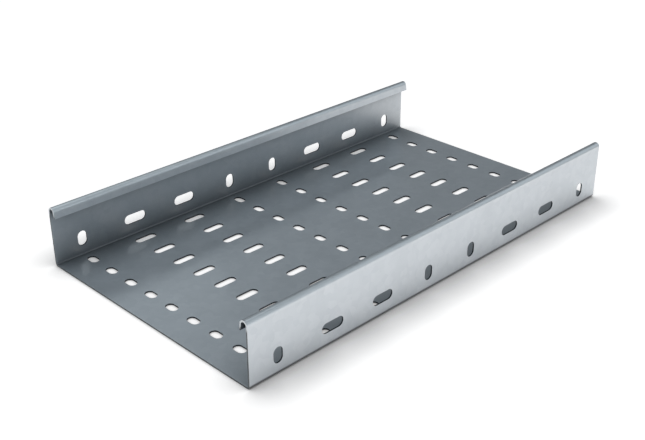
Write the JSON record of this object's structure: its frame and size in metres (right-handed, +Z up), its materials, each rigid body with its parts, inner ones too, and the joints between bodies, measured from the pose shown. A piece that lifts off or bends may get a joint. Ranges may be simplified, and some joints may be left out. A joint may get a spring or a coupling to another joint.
{
  "type": "return flange cable tray",
  "caption": "Straight perforated cable tray folded from one steel sheet: flat slotted base, slotted side walls and inward return flanges along their tops.",
  "frame": {"origin": "centre of the underside of the flat base, halfway along the run", "axes": "+Y along the run of the tray, +X across it, +Z up out of the open top"},
  "size_m": [0.2274, 0.4, 0.051],
  "materials": {
    "galvanised_steel": "satin pre-galvanised zinc coat on folded sheet steel"
  },
  "bodies": {
    "root": {"cable_tray": "galvanised_steel"}
  },
  "joints": []
}
